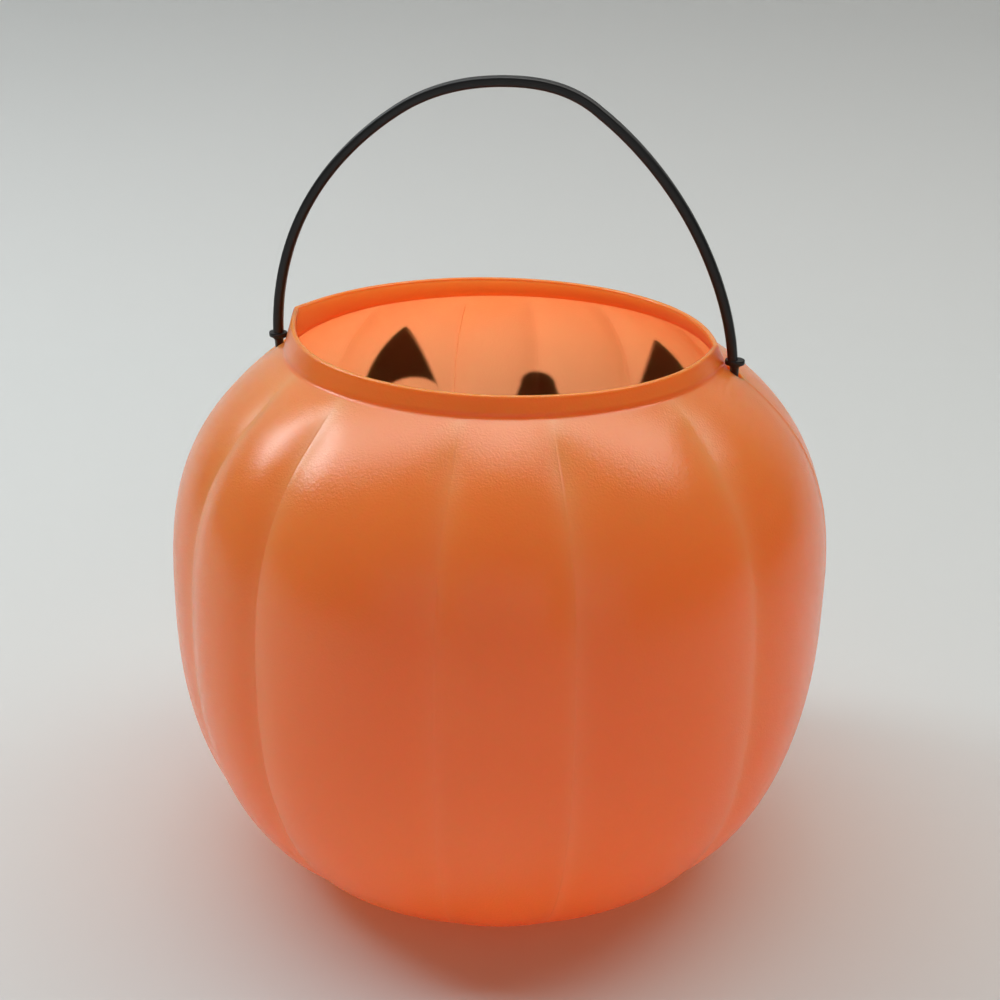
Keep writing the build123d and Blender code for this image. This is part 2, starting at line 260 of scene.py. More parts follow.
@dataclass(frozen=True)
class PailForm:
    """Outer form of the pail's side: two curves that meet at the belly, creased between its lobes."""

    belly_radius: float = 0.108
    belly_height: float = 0.0923
    foot_radius: float = 0.055
    dome_rise: float = 0.0927
    dome_closing_radius: float = 0.040
    heel_height_power: float = 2.2
    heel_radius_power: float = 1.92
    dome_height_power: float = 3.0
    dome_radius_power: float = 1.386
    crease_angles: tuple[float, ...] = (
        0.0, 35.7, 57.3, 90.0, 111.0, 145.0, 180.0, 222.0, 250.0, 271.2, 290.0, 318.0
    )
    crease_shares: tuple[float, ...] = (0.4, 1.0, 1.0, 0.85, 1.0, 1.0, 0.2, 1.0, 1.0, 1.0, 1.0, 1.0)
    crease_depth_foot: float = 0.0016
    crease_depth_dome: float = 0.0032
    crease_rounding: float = 0.9
    crease_runout: float = 0.018
    neck_radius: float = 0.0684
    lobe_power: float = 2.6
    parting_ridge: float = 0.00040
    parting_width: float = 0.55
    sway: float = 0.00035
    sway_waves: tuple[tuple[float, float, float, float], ...] = (
        (1.0, 3.0, 0.7, 1.0), (0.6, 5.0, math.pi / 2.0 - 1.1, 1.7)
    )
    front_passes: int = 6

    def crown_radius(self, height: np.ndarray) -> np.ndarray:
        """Radius of the lobes' crowns at a height: one superellipse below the belly, one above it.

        Args:
            height: Heights above the foot.

        Returns:
            Radii, in the shape of the heights.
        """
        below = np.clip((self.belly_height - height) / self.belly_height, 0.0, 1.0)
        above = np.clip((height - self.belly_height) / self.dome_rise, 0.0, 1.0)
        heel = (1.0 - below**self.heel_height_power) ** (1.0 / self.heel_radius_power)
        dome = (1.0 - above**self.dome_height_power) ** (1.0 / self.dome_radius_power)
        lower = self.foot_radius + (self.belly_radius - self.foot_radius) * heel
        upper = self.dome_closing_radius + (self.belly_radius - self.dome_closing_radius) * dome
        return np.where(height < self.belly_height, lower, upper)

    def dome_height(self, radius: np.ndarray) -> np.ndarray:
        """Height at which the lobes' crowns have narrowed to a radius, above the belly.

        Args:
            radius: Radii between the closing radius and the belly's.

        Returns:
            Heights, in the shape of the radii.
        """
        share = (radius - self.dome_closing_radius) / (self.belly_radius - self.dome_closing_radius)
        rise = (1.0 - share**self.dome_radius_power) ** (1.0 / self.dome_height_power)
        return self.belly_height + self.dome_rise * rise

    def crease_depth(self, height: np.ndarray) -> np.ndarray:
        """Depth of the creases at a height: a straight rise from the foot, run out at the neck.

        Args:
            height: Heights above the foot.

        Returns:
            Depths, in the shape of the heights.
        """
        share = height / (self.belly_height + self.dome_rise)
        depth = self.crease_depth_foot + share * (self.crease_depth_dome - self.crease_depth_foot)
        return depth * smoothstep(0.0, self.crease_runout, self.crown_radius(height) - self.neck_radius)

    def valley(self, angle: np.ndarray) -> np.ndarray:
        """Share of the crease depth at an angle: a power of the distance from the lobe's middle.

        The distance is rounded off near the crease, so that its bottom is a small arc. Each crease has its
        own share of the depth.

        Args:
            angle: Angles in degrees, counter-clockwise from +X.

        Returns:
            Shares from 0 on a crown to nearly 1 in a crease.
        """
        starts = np.array(self.crease_angles)
        ends = np.append(starts[1:], starts[0] + FULL_TURN)
        turned = np.mod(angle - starts[0], FULL_TURN) + starts[0]
        lobe = np.searchsorted(starts, turned, side="right") - 1
        half = (ends - starts)[lobe] / 2.0
        middle = (starts + ends)[lobe] / 2.0
        inset = 1.0 - np.abs(turned - middle) / half
        rounded = np.hypot(inset, self.crease_rounding / half)
        nearer = np.where(turned < middle, lobe, (lobe + 1) % len(starts))
        return np.array(self.crease_shares)[nearer] * np.clip(1.0 - rounded, 0.0, 1.0) ** self.lobe_power

    def parting_line(self, angle: np.ndarray) -> np.ndarray:
        """Height of the thin ridge at the parting lines: a bell curve of the angle from them."""
        return self.parting_ridge * np.exp(-((from_parting(angle) / self.parting_width) ** 2))

    def radius(self, angle: np.ndarray, height: np.ndarray) -> np.ndarray:
        """Radius of the outer face: the crown's, less the crease, with a slow moulded sway.

        Each wave of the sway is a product of sines round and up the pail: its weight, its waves and phase
        round the pail, and its waves up to the belly.

        Args:
            angle: Angles in degrees, counter-clockwise from +X.
            height: Heights above the foot.

        Returns:
            Radii in the two arrays' joint shape.
        """
        turn = np.radians(angle)
        level = height / self.belly_height * math.pi
        sway = sum(
            weight * np.sin(around * turn + phase) * np.sin(upwards * level)
            for weight, around, phase, upwards in self.sway_waves
        )
        creased = self.crown_radius(height) - self.crease_depth(height) * self.valley(angle)
        return creased + self.sway * sway + self.parting_line(angle)

    def point(self, angle: np.ndarray, height: np.ndarray) -> Grid:
        """Points of the outer face at angles and heights."""
        return polar(angle, self.radius(angle, height), height)

    def front_point(self, across: np.ndarray, height: np.ndarray) -> Grid:
        """Points of the outer face seen at x = across and z = height from the front.

        The angle is found by repeating: arcsine of x over the radius at the last angle.

        Args:
            across: Distances along X.
            height: Heights above the foot.

        Returns:
            Points in the two arrays' joint shape.
        """
        radius = self.crown_radius(height)
        for _ in range(self.front_passes):
            lean = np.arcsin(np.clip(across / radius, -1.0, 1.0))
            radius = self.radius(3.0 * RIGHT_ANGLE + np.degrees(lean), height)
        return np.stack([across + 0.0 * radius, -radius * np.cos(lean), height + 0.0 * radius], axis=-1)


@dataclass
class PailShell:
    """The one-piece shell: base, lobed side, collar, lip, inside and floor, as one closed surface."""

    form: PailForm
    rim_height: float
    wall: float = 0.0012
    collar_radius: float = 0.0684
    collar_taper: float = 0.0021
    lip_radius: float = 0.0009
    neck_fillet: float = 0.0011
    rim_tilt: float = 0.010
    rim_peak: float = 0.0030
    rim_peak_width: float = 24.0
    rim_point: float = 0.0022
    rim_point_width: float = 13.0
    inner_drop: float = 0.0021
    push_up_height: float = 0.003
    push_up_edge: float = 0.0458
    push_up_run: float = 0.005
    # Painted highlight along the creases: its strength and narrowing, and how it broadens between two
    # heights near the top.
    highlight_strength: float = 0.85
    highlight_narrowing: float = 4.0
    top_highlight_narrowing: float = 2.0
    top_highlight_heights: tuple[float, float] = (0.125, 0.165)
    weld_ridge: float = 0.0005
    weld_width: float = 0.0007
    lobe_columns: int = 30
    heel_rows: int = 44
    dome_rows: int = 50
    collar_rows: int = 7
    lip_rows: int = 9
    fillet_rows: int = 4
    base_rows: int = 9
    base_spread: float = 0.8
    edge_crowding: float = 0.78
    hole_span: float = 0.0738
    hole_radius: float = 0.0029
    hole_heights: tuple[float, float] = (0.160, 0.178)
    hole_columns: int = 48

    def columns(self) -> np.ndarray:
        """Angles of the columns: evenly many to a lobe, crowded towards its creases by a sine.

        Returns:
            Angles in degrees, counter-clockwise from +X.
        """
        starts = np.array(self.form.crease_angles)
        widths = np.diff(np.append(starts, starts[0] + FULL_TURN))
        share = np.arange(self.lobe_columns) / self.lobe_columns
        crowded = share - self.edge_crowding * np.sin(CIRCLE * share) / CIRCLE
        return (starts[:, None] + widths[:, None] * crowded).ravel()

    def pointed(self, angle: np.ndarray) -> np.ndarray:
        """How far the collar stands out near the parting lines: a sharp fall with the angle from them."""
        return self.rim_point * np.exp(-np.abs(from_parting(angle)) / self.rim_point_width)

    def side_heights(self, angle: np.ndarray) -> np.ndarray:
        """Heights of the side's rows: even steps of the two superellipses' own angles.

        Args:
            angle: Angles of the columns.

        Returns:
            Heights, rows by columns, from the foot to the neck.
        """
        form = self.form
        heel_turn = np.linspace(math.pi / 2.0, 0.0, self.heel_rows)[:, None]
        heel = form.belly_height * (1.0 - np.sin(heel_turn) ** (2.0 / form.heel_height_power))
        neck = form.dome_height(self.collar_radius + self.neck_fillet + self.pointed(angle))
        share = (neck - form.belly_height) / form.dome_rise
        neck_turn = np.arcsin(share ** (form.dome_height_power / 2.0))
        dome_turn = neck_turn * np.linspace(0.0, 1.0, self.dome_rows + 1)[1:, None]
        dome = form.belly_height + form.dome_rise * np.sin(dome_turn) ** (2.0 / form.dome_height_power)
        return np.concatenate([heel + 0.0 * neck, dome])

    def collar_outline(self, angle: np.ndarray) -> tuple[np.ndarray, np.ndarray]:
        """Radius and height of the collar's rows, from the neck's fillet over the lip to the inside.

        The collar narrows evenly upwards, its lip is a half circle, and both ends are small curves.

        Args:
            angle: Angles of the columns.

        Returns:
            Radii and heights, rows by columns.
        """
        corner_radius = self.collar_radius + self.pointed(angle)
        corner = self.form.dome_height(corner_radius)
        neck = self.form.dome_height(corner_radius + self.neck_fillet)
        from_peak = np.abs(np.mod(angle + 2.0 * RIGHT_ANGLE, FULL_TURN) - 2.0 * RIGHT_ANGLE)
        peak = self.rim_peak * np.exp(-from_peak / self.rim_peak_width)
        tilt = self.rim_tilt * self.collar_radius * np.cos(np.radians(angle))
        crest = self.rim_height - self.lip_radius + peak + tilt
        foot = corner + self.neck_fillet
        share = np.linspace(0.0, 1.0, self.collar_rows)[:, None]
        outer_height = foot + (crest - foot) * share
        outer = corner_radius - self.collar_taper * share
        blend_height = bezier(neck, corner, foot, self.fillet_rows)
        blend = bezier(self.form.radius(angle, neck), corner_radius, outer[0], self.fillet_rows)
        turn = np.linspace(0.0, math.pi, self.lip_rows)[1:-1, None]
        lip = outer[-1] - self.lip_radius + self.lip_radius * np.cos(turn)
        lip_height = crest + self.lip_radius * np.sin(turn)
        inner = outer[::-1] - 2.0 * self.lip_radius
        inner_height = crest + (foot - self.inner_drop - crest) * share
        radii = np.concatenate([blend, outer, lip, inner])
        return radii, np.concatenate([blend_height, outer_height, lip_height, inner_height])

    def base_points(self, foot: np.ndarray, lift: float) -> Grid:
        """Rows of the base from near its middle out to the foot: the foot's ring shrunk, pushed up.

        Underneath, the mould's weld is a bell-shaped ridge along X.

        Args:
            foot: Points of the foot's ring.
            lift: Height of the base's ring above the floor: nothing outside, the wall inside.

        Returns:
            Points, rows by columns.
        """
        share = np.linspace(0.0, 1.0, self.base_rows + 2)[1:-1] ** self.base_spread
        edge = self.push_up_edge / self.form.foot_radius
        start = edge - self.push_up_run / self.form.foot_radius
        share = np.sort(np.concatenate([share, [start, (start + edge) / 2.0, edge]]))[:, None]
        rise = self.push_up_height * (1.0 - smoothstep(start, edge, share))
        ring = foot[None, :, :2] * share[..., None]
        across = ring[..., 1]
        weld = self.weld_ridge * np.exp(-((across / self.weld_width) ** 2)) * rise / self.push_up_height
        height = lift + rise - (weld if lift == 0.0 else 0.0 * weld)
        return np.concatenate([ring, height[..., None] + 0.0 * across[..., None]], axis=-1)

    def crease_highlight(self, angle: np.ndarray, height: np.ndarray) -> np.ndarray:
        """Strength of the painted highlight in the creases, a pale line that stands in for the lamps' light
        caught there: a power of the valley's share, broader near the top.

        Args:
            angle: Angles of the columns.
            height: Heights of the side, rows by columns.

        Returns:
            Strengths from 0 to 1, in the shape of the heights.
        """
        upper = smoothstep(*self.top_highlight_heights, height)
        strength = self.highlight_strength + (1.0 - self.highlight_strength) * upper
        narrowing = self.highlight_narrowing + (self.top_highlight_narrowing - self.highlight_narrowing) * upper
        return strength * self.form.valley(angle) ** narrowing

    def build(self) -> bpy.types.Object:
        """Builds the shell: rows from under the base, up outside, over the lip and down inside.

        Returns:
            The shell's object.
        """
        angle = self.columns()
        outer = self.form.point(angle, self.side_heights(angle))
        normal = ring_normals(outer)
        normal[0] = (0.0, 0.0, -1.0)
        inner = (outer - self.wall * normal)[::-1]
        collar = polar(angle, *self.collar_outline(angle))
        base = self.base_points(outer[0], 0.0)
        floor = self.base_points(inner[-1], self.wall)[::-1]
        rows = np.concatenate([base, outer, collar, inner, floor])
        poles = np.array([[0.0, 0.0, base[0, 0, 2]], [0.0, 0.0, floor[-1, 0, 2]]])
        shell = mesh_object("pail_moulding", *capped_rings(rows, poles))

        foot = len(base)
        neck = foot + len(outer)
        drop = neck + len(collar)
        # The crease mark carries the painted highlight along the creases; the collar mark carries the
        # collar's deeper tone with painted shade.
        skin, crease, on_collar = (np.zeros(rows.shape[:2]) for _ in range(3))
        skin[drop - self.collar_rows:] = Skin.COLLAR
        skin[drop - 1:] = Skin.INNER
        crease[foot:neck] = self.crease_highlight(angle, outer[..., 2])
        on_collar[neck:drop] = 1.0
        point_attribute(shell, "skin", np.append(skin, [Skin.OUTER, Skin.INNER]))
        point_attribute(shell, "crease", np.append(crease, [0.0, 0.0]))
        point_attribute(shell, "collar", np.append(on_collar, [0.0, 0.0]))
        self.cut_peg_holes(shell)
        self.number_skins(shell.data)
        return shell

    def dress(self, shell: bpy.types.Object, effects: "Effects") -> None:
        """Gives the shell its three skins, in the order of their numbers."""
        skins = {Skin.OUTER: OUTER_SKIN, Skin.INNER: INNER_SKIN, Skin.COLLAR: COLLAR_SKIN}
        attach(shell, Body.PAIL, Slot.SHELL, "pail_shell", *(skins[key].build(effects) for key in Skin))

    def cut_peg_holes(self, shell: bpy.types.Object) -> None:
        """Cuts the handle's two holes through the shoulder with upright cylinders.

        Args:
            shell: The shell's object, whose mesh is replaced by the cut one.
        """
        turn = np.linspace(0.0, CIRCLE, self.hole_columns, endpoint=False)
        ring = self.hole_radius * np.stack([np.cos(turn), np.sin(turn), 0.0 * turn], axis=-1)
        holes = []
        for side in Side:
            poles = np.array([(side.value * self.hole_span, 0.0, height) for height in self.hole_heights])
            holes.append(capped_rings(poles[:, None] + ring, poles))
        cutter = mesh_object("peg_hole_cutter", *joined(holes))
        cut = shell.modifiers.new("peg_holes", "BOOLEAN")
        cut.operation = "DIFFERENCE"
        cut.solver = "EXACT"
        cut.object = cutter
        state = bpy.context.evaluated_depsgraph_get()
        shell.data = bpy.data.meshes.new_from_object(
            shell.evaluated_get(state), preserve_all_data_layers=True, depsgraph=state
        )
        shell.modifiers.clear()
        bpy.data.objects.remove(cutter)

    @staticmethod
    def number_skins(mesh: bpy.types.Mesh) -> None:
        """Gives each face the material of its skin, by the mark on the face's first point.

        Args:
            mesh: The shell's mesh.
        """
        starts = np.empty(len(mesh.polygons), dtype=np.int32)
        corners = np.empty(len(mesh.loops), dtype=np.int32)
        marks = np.empty(len(mesh.vertices), dtype=np.float32)
        mesh.polygons.foreach_get("loop_start", starts)
        mesh.loops.foreach_get("vertex_index", corners)
        mesh.attributes["skin"].data.foreach_get("value", marks)
        mesh.polygons.foreach_set("material_index", np.rint(marks[corners[starts]]).astype(np.int32))


# Shape of the face


@dataclass(frozen=True)
class FaceOutline:
    """Outlines of the painted face as seen from the front, in x and z."""

    shift: float = 0.0023
    eye_apex: tuple[float, float] = (0.0463, 0.1590)
    eye_inner: tuple[float, float] = (0.0349, 0.118)
    eye_outer: tuple[float, float] = (0.0675, 0.1125)
    eye_bulge: float = 0.0063
    pupil: tuple[float, float] = (0.0482, 0.1184)
    pupil_radius: float = 0.0134
    nose_top: float = 0.1360
    nose_top_radius: float = 0.0078
    nose_base: float = 0.104
    nose_half_width: float = 0.0170
    mouth_half_width: float = 0.063
    mouth_corner: float = 0.090
    mouth_upper: float = 0.070
    mouth_lower: float = 0.038
    upper_tooth: float = 0.021
    upper_tooth_width: float = 0.013
    upper_tooth_drop: float = 0.012
    lower_tooth_width: float = 0.015
    lower_tooth_rise: float = 0.011

    def eye_flank(self) -> tuple[float, float, float]:
        """The right eye's inner side, a straight line.

        Returns:
            The x and z of its unit normal, and its offset: normal . place - offset > 0 lies outside.
        """
        run = np.subtract(self.eye_apex, self.eye_inner)
        across, up = -run[1] / np.hypot(*run), run[0] / np.hypot(*run)
        return across, up, across * self.eye_apex[0] + up * self.eye_apex[1]

    def eye_arc(self) -> tuple[tuple[float, float], float]:
        """The right eye's outer side, an arc that stands out from its chord by the bulge.

        Its radius is (h^2 + b^2) / 2b, with h half the chord and b the bulge.

        Returns:
            The arc's centre and radius.
        """
        run = np.subtract(self.eye_apex, self.eye_outer)
        half = np.hypot(*run) / 2.0
        radius = (half**2 + self.eye_bulge**2) / (2.0 * self.eye_bulge)
        outward = np.array([run[1], -run[0]]) / (2.0 * half)
        middle = np.add(self.eye_apex, self.eye_outer) / 2.0
        centre = middle - outward * (radius - self.eye_bulge)
        return (float(centre[0]), float(centre[1])), float(radius)

    def grin(self, across: np.ndarray, middle: float) -> np.ndarray:
        """Height of an arc through both mouth corners and a middle point, at distances across.

        Args:
            across: Distances from the mouth's middle.
            middle: Height of the arc's middle.

        Returns:
            Heights, in the shape of the distances.
        """
        sag = self.mouth_corner - middle
        radius = (self.mouth_half_width**2 + sag**2) / (2.0 * sag)
        return middle + radius - np.sqrt(radius**2 - across**2)


@dataclass
class FacePaint:
    """The four films of paint, each a thin closed skin that thins out to nothing at its edge."""

    form: PailForm
    outline: FaceOutline
    thickness: float = 0.00022
    seat: float = 0.00002
    probe: float = 0.0002
    corner_power: float = -40.0
    steepest: float = 1e-3
    narrowest: float = 1e-4
    tooth_step: float = 1e-5
    eye_columns: int = 128
    eye_rows: int = 44
    eye_inset: float = 0.02
    nose_rows: int = 48
    nose_columns: int = 41
    mouth_rows: int = 41
    mouth_columns: int = 128

    def film(self, name: str, across: np.ndarray, height: np.ndarray) -> bpy.types.Object:
        """Closed skin over a grid of front-view places: an outer face, an inner face and their rim.

        Each face is the shell's outer face moved along its normal.

        Args:
            name: Name of the film's object.
            across: Places along X, rows by columns.
            height: Places along Z, rows by columns.

        Returns:
            The film's object.
        """
        across = across + self.outline.shift
        base = self.form.front_point(across, height)
        normal = np.cross(
            self.form.front_point(across + self.probe, height) - base,
            self.form.front_point(across, height + self.probe) - base,
        )
        normal /= np.linalg.norm(normal, axis=-1, keepdims=True)
        rows, columns = across.shape
        count = rows * columns
        index = np.arange(count).reshape(rows, columns)
        outer = patch_faces(rows, columns)
        edge = np.concatenate([index[0], index[1:, -1], index[-1, -2::-1], index[-2:0:-1, 0]])
        if self.faces_backwards(base, normal, outer):
            outer = outer[:, ::-1]
            edge = edge[::-1]
        faces = [outer, outer[:, ::-1] + count, strip_faces(edge + count, edge)]
        skin = base + normal * (self.seat + self.thickness)
        made = mesh_object(name, np.concatenate([skin, base + normal * self.seat]), faces)
        flat = base.reshape(-1, 1, 3)
        to_edge = np.linalg.norm(flat - flat[edge].reshape(1, -1, 3), axis=-1).min(axis=1)
        point_attribute(made, "to_edge", np.tile(to_edge, 2))
        return made

    @staticmethod
    def faces_backwards(points: Grid, normal: Grid, quads: np.ndarray) -> bool:
        """Whether a grid's quads face against its normals.

        Args:
            points: Grid of points.
            normal: Grid of normals.
            quads: Quads of the grid.

        Returns:
            True if most quads face inwards.
        """
        flat = points.reshape(-1, 3)
        first, second, third = (flat[quads[:, k]] for k in range(3))
        facing = np.cross(second - first, third - first) * normal.reshape(-1, 3)[quads[:, 0]]
        return float(facing.sum()) < 0.0

    def eye(self, side: Side) -> bpy.types.Object:
        """One eye: rows that spread from the bare pupil's circle to the eye's flank, arc and base.

        Each column follows a ray from the pupil's centre. The outline's reach along the ray is the least
        distance to the three sides, softened where they meet.

        Args:
            side: Which eye.

        Returns:
            The eye's object.
        """
        shape = self.outline
        x, z = shape.pupil
        round_pupil = shape.pupil_radius
        across, up, offset = shape.eye_flank()
        flank = offset - across * x - up * z
        low = -math.asin((z - shape.eye_outer[1]) / round_pupil)
        high = math.atan2(up, across) - math.acos(flank / round_pupil)
        turn = np.linspace(low + self.eye_inset, high - self.eye_inset, self.eye_columns)
        ray_x, ray_z = np.cos(turn), np.sin(turn)
        (centre_x, centre_z), radius = shape.eye_arc()
        off_x, off_z = x - centre_x, z - centre_z
        along = ray_x * off_x + ray_z * off_z
        to_arc = np.sqrt(along**2 - off_x**2 - off_z**2 + radius**2) - along
        to_flank = flank / np.maximum(across * ray_x + up * ray_z, self.steepest)
        to_base = (z - shape.eye_outer[1]) / np.maximum(-ray_z, self.steepest)
        sides = np.stack([to_arc, to_flank, to_base])
        reach = (sides**self.corner_power).sum(axis=0) ** (1.0 / self.corner_power)
        share = np.linspace(0.0, 1.0, self.eye_rows)[:, None]
        spread = round_pupil + np.maximum(reach - round_pupil, self.narrowest) * share
        name = f"{side.name.lower()}_eye_film"
        return self.film(name, (x + spread * ray_x) * side.value, z + spread * ray_z)

    def nose(self) -> bpy.types.Object:
        """The nose: rows that widen from a half circle at the top along straight sides to the base.

        Returns:
            The nose's object.
        """
        shape = self.outline
        rise = np.sin(np.linspace(0.0, math.pi / 2.0, self.nose_rows))
        height = shape.nose_base + (shape.nose_top - shape.nose_base) * rise
        centre = shape.nose_top - shape.nose_top_radius
        round_top = np.sqrt(np.clip(shape.nose_top_radius**2 - (height - centre) ** 2, 1e-9, None))
        share = np.clip((height - shape.nose_base) / (centre - shape.nose_base), 0.0, 1.0)
        straight = shape.nose_half_width + (shape.nose_top_radius - shape.nose_half_width) * share
        half = np.where(height > centre, round_top, straight)
        across = half[:, None] * np.linspace(-1.0, 1.0, self.nose_columns)
        return self.film("nose_film", across, height[:, None] + 0.0 * across)

    def mouth(self) -> bpy.types.Object:
        """The mouth: columns between a lower and an upper arc, stepped in at the bare teeth.

        Returns:
            The mouth's object.
        """
        shape = self.outline
        half_upper = shape.upper_tooth_width / 2.0
        half_lower = shape.lower_tooth_width / 2.0
        sides = np.array([shape.upper_tooth - half_upper, shape.upper_tooth + half_upper, half_lower])
        steps = np.concatenate([sides - self.tooth_step, sides + self.tooth_step])
        even = np.linspace(-1.0, 1.0, self.mouth_columns) * (shape.mouth_half_width - self.tooth_step)
        across = np.sort(np.concatenate([even, steps, -steps]))
        upper = shape.grin(across, shape.mouth_upper)
        lower = shape.grin(across, shape.mouth_lower)
        in_upper = np.abs(np.abs(across) - shape.upper_tooth) < half_upper
        upper = np.where(in_upper, shape.mouth_upper - shape.upper_tooth_drop, upper)
        lower = np.where(np.abs(across) < half_lower, shape.mouth_lower + shape.lower_tooth_rise, lower)
        share = np.linspace(0.0, 1.0, self.mouth_rows)[:, None]
        height = lower + (upper - lower) * share
        return self.film("mouth_film", across + 0.0 * height, height)

    def build(self) -> dict[str, bpy.types.Object]:
        """Builds the eyes, the nose and the mouth.

        Returns:
            The films' objects, by the frame nodes that they stand for.
        """
        return {
            "left_eye_paint": self.eye(Side.LEFT),
            "right_eye_paint": self.eye(Side.RIGHT),
            "nose_paint": self.nose(),
            "mouth_paint": self.mouth(),
        }

    def dress(self, films: dict[str, bpy.types.Object], effects: "Effects") -> None:
        """Gives every film the black paint.

        Args:
            films: The films' objects, by the frame nodes that they stand for.
            effects: The shared shader groups.
        """
        black = BlackFacePaint().build(effects)
        for node, film in films.items():
            attach(film, Body.PAIL, Slot.PAINT, node, black)


# Shape of the handle


@dataclass
class CarryHandle:
    """The one-piece bail: an arched rod with a flange, a peg and a barb at each end."""

    pivot: tuple[float, float, float]
    half_span: float = 0.0738
    rise: float = 0.091
    crown_radius: float = 0.054
    lean: float = 9.0
    strap_width: float = 0.0034
    strap_thickness: float = 0.0032
    strap_power: float = 3.2
    flange_radius: float = 0.0031
    flange_depth: float = 0.0020
    flange_thickness: float = 0.0018
    flange_standoff: float = 0.0049
    peg_radius: float = 0.0014
    peg_root_radius: float = 0.0018
    peg_root_start: float = 0.00392
    barb_depth: float = 0.0046
    barb_radius: float = 0.0031
    barb_length: float = 0.0036
    barb_tip_radius: float = 0.0011
    edge_round: float = 0.0004
    bends: tuple[tuple[float, float, float], ...] = (
        (0.0007, 0.15, 0.12), (0.0019, 0.64, 0.11), (-0.0008, 0.78, 0.11), (-0.0013, 0.90, 0.10)
    )
    path_rows: int = 220
    section_columns: int = 28
    peg_columns: int = 40

    def place(self, across: np.ndarray, up: np.ndarray, out: np.ndarray) -> Grid:
        """Points of the leaning handle's own plane in the row frame.

        Args:
            across: Distances along X.
            up: Distances up along the leaning plane from the pivot line.
            out: Distances out of that plane, towards the face.

        Returns:
            Points in the arrays' joint shape.
        """
        lean = math.radians(self.lean)
        x, y, z = self.pivot
        back = y + up * math.sin(lean) - out * math.cos(lean)
        rise = z + up * math.cos(lean) + out * math.sin(lean)
        return np.stack([x + across, back + 0.0 * across, rise + 0.0 * across], axis=-1)

    def centreline(self) -> tuple[np.ndarray, np.ndarray, np.ndarray]:
        """The arch's centreline: a side arc, the crown arc and the other side arc, all tangent.

        The side arcs' radius is (a^2 + c^2 - r^2) / 2(a - r), with a the half span, r the crown's radius
        and c the height of the crown's centre. Each bend from use is a bell curve outwards: its height,
        and its place and width as shares of the arch.

        Returns:
            Distances across, distances up, and the direction of the normal as an angle from +X.
        """
        centre = self.rise - self.crown_radius
        side = (self.half_span**2 + centre**2 - self.crown_radius**2) / (
            2.0 * (self.half_span - self.crown_radius)
        )
        bend = math.atan2(centre, side - self.half_span)
        start = math.asin((self.flange_standoff + self.flange_thickness / 2.0) / side)
        turn = np.linspace(start, math.pi - start, self.path_rows)
        on_right = turn < bend
        on_left = turn > math.pi - bend
        on_side = on_right | on_left
        radius = np.where(on_side, side, self.crown_radius)
        shift = (side - self.half_span) * (on_left.astype(float) - on_right)
        lift = np.where(on_side, 0.0, centre)
        share = (turn - start) / (math.pi - 2.0 * start)
        for height, place, width in self.bends:
            radius = radius + height * np.exp(-(((share - place) / width) ** 2))
        return shift + radius * np.cos(turn), lift + radius * np.sin(turn), turn

    def strap(self) -> Surface:
        """The rod: a squarish superellipse section carried along the centreline, with its ends closed.

        Returns:
            Points and faces.
        """
        across, up, turn = self.centreline()
        angle = np.linspace(0.0, CIRCLE, self.section_columns, endpoint=False)
        power = 2.0 / self.strap_power
        deep = np.sign(np.cos(angle)) * np.abs(np.cos(angle)) ** power * self.strap_thickness / 2.0
        wide = np.sign(np.sin(angle)) * np.abs(np.sin(angle)) ** power * self.strap_width / 2.0
        outward = turn[:, None]
        rows = self.place(
            across[:, None] + deep * np.cos(outward),
            up[:, None] + deep * np.sin(outward),
            wide + 0.0 * outward,
        )
        ends = self.place(across[[0, -1]], up[[0, -1]], np.zeros(2))
        return capped_rings(rows, ends, flipped=True)

    def peg(self, side: Side) -> Surface:
        """One end: an outline of barb, peg and flange, turned round the peg's axis.

        Each point of the outline has its radius, its height, and its depth as a share of its radius, which
        makes the flange oblong.

        Args:
            side: Which end.

        Returns:
            Points and faces.
        """
        soft = self.edge_round
        barb = -self.barb_depth
        top = self.flange_standoff + self.flange_thickness
        flat = self.flange_depth / self.flange_radius
        outline = np.array([
            (self.barb_tip_radius * 0.6, barb - self.barb_length, 1.0),
            (self.barb_tip_radius, barb - self.barb_length + soft, 1.0),
            (self.barb_radius - soft, barb - soft * 1.6, 1.0),
            (self.barb_radius, barb - soft * 0.6, 1.0),
            (self.barb_radius - soft * 0.6, barb, 1.0),
            (self.peg_radius + soft, barb, 1.0),
            (self.peg_radius, barb + soft, 1.0),
            (self.peg_radius, self.peg_root_start, 1.0),
            (self.peg_root_radius, self.flange_standoff - soft, 1.0),
            (self.peg_root_radius + soft, self.flange_standoff, 0.85),
            (self.flange_radius - soft, self.flange_standoff, flat),
            (self.flange_radius - soft * 0.3, self.flange_standoff + soft * 0.3, flat),
            (self.flange_radius, self.flange_standoff + soft, flat),
            (self.flange_radius, top - soft, flat),
            (self.flange_radius - soft * 0.3, top - soft * 0.3, flat),
            (self.flange_radius - soft, top, flat),
            (self.peg_root_radius, top, flat),
        ])
        angle = np.linspace(0.0, CIRCLE, self.peg_columns, endpoint=False)
        radius, height, depth = (outline[:, k:k + 1] for k in range(3))
        across = side.value * self.half_span + radius * np.cos(angle)
        rows = self.place(across, height + 0.0 * across, radius * depth * np.sin(angle))
        ends = self.place(np.full(2, side.value * self.half_span), outline[[0, -1], 1], np.zeros(2))
        return capped_rings(rows, ends, flipped=True)

    def build(self) -> bpy.types.Object:
        """Builds the rod and both ends as one moulding.

        Returns:
            The handle's object.
        """
        surface = joined([self.strap(), self.peg(Side.LEFT), self.peg(Side.RIGHT)])
        return mesh_object("handle_moulding", *surface)

    def dress(self, handle: bpy.types.Object, effects: "Effects") -> None:
        """Gives the handle its black plastic."""
        attach(handle, Body.HANDLE, Slot.HANDLE, "carry_handle", BlackMoulding().build(effects))


# Shader helpers

Socket = bpy.types.NodeSocket
Value = float | Socket
Source = Value | tuple


